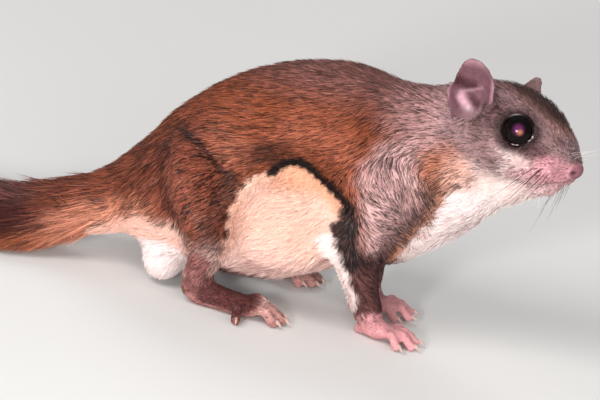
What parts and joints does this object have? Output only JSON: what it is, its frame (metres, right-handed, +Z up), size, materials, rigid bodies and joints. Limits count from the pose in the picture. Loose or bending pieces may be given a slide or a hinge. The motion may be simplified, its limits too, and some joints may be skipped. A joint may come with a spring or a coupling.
{
  "type": "flying squirrel",
  "caption": "Small standing flying squirrel with large eyes, cupped ears, a furry gliding fold along each flank and a broad flat tail.",
  "frame": {"origin": "middle of the base of the whole model, at floor level", "axes": "+X forward from tail to nose, +Y to the animal's left, +Z up"},
  "size_m": [0.2268, 0.0622, 0.0824],
  "materials": {
    "brown_fur": "short dense fur, reddish brown with dark ticking",
    "grey_fur": "short dense fur, grizzled grey-brown",
    "cream_fur": "soft white to cream fur",
    "tail_fur": "long soft fur, brown above and tan below",
    "dark_edge_fur": "black fur along the edge of the gliding fold",
    "pink_skin": "bare pink skin with a fine down",
    "eye": "wet, glossy black eye",
    "claw": "pale horn"
  },
  "bodies": {
    "root": {"abdomen": "brown_fur", "chest": "brown_fur", "ear_left": "pink_skin", "ear_right": "pink_skin", "eye_left": "eye", "eye_right": "eye", "foot_claw_1_left": "claw", "foot_claw_1_right": "claw", "foot_claw_2_left": "claw", "foot_claw_2_right": "claw", "foot_claw_3_left": "claw", "foot_claw_3_right": "claw", "foot_claw_4_left": "claw", "foot_claw_4_right": "claw", "foot_claw_5_left": "claw", "foot_claw_5_right": "claw", "foot_left": "pink_skin", "foot_right": "pink_skin", "forearm_left": "grey_fur", "forearm_right": "grey_fur", "gliding_skin_left": "dark_edge_fur", "gliding_skin_right": "dark_edge_fur", "hand_claw_1_left": "claw", "hand_claw_1_right": "claw", "hand_claw_2_left": "claw", "hand_claw_2_right": "claw", "hand_claw_3_left": "claw", "hand_claw_3_right": "claw", "hand_claw_4_left": "claw", "hand_claw_4_right": "claw", "hand_left": "pink_skin", "hand_right": "pink_skin", "head": "grey_fur", "lower_jaw": "cream_fur", "neck": "cream_fur", "nose": "pink_skin", "rump": "brown_fur", "rump_puff": "cream_fur", "shank_left": "brown_fur", "shank_right": "brown_fur", "tail_brush": "tail_fur", "tail_root": "tail_fur", "thigh_left": "brown_fur", "thigh_right": "brown_fur", "upper_arm_left": "grey_fur", "upper_arm_right": "grey_fur"}
  },
  "joints": []
}
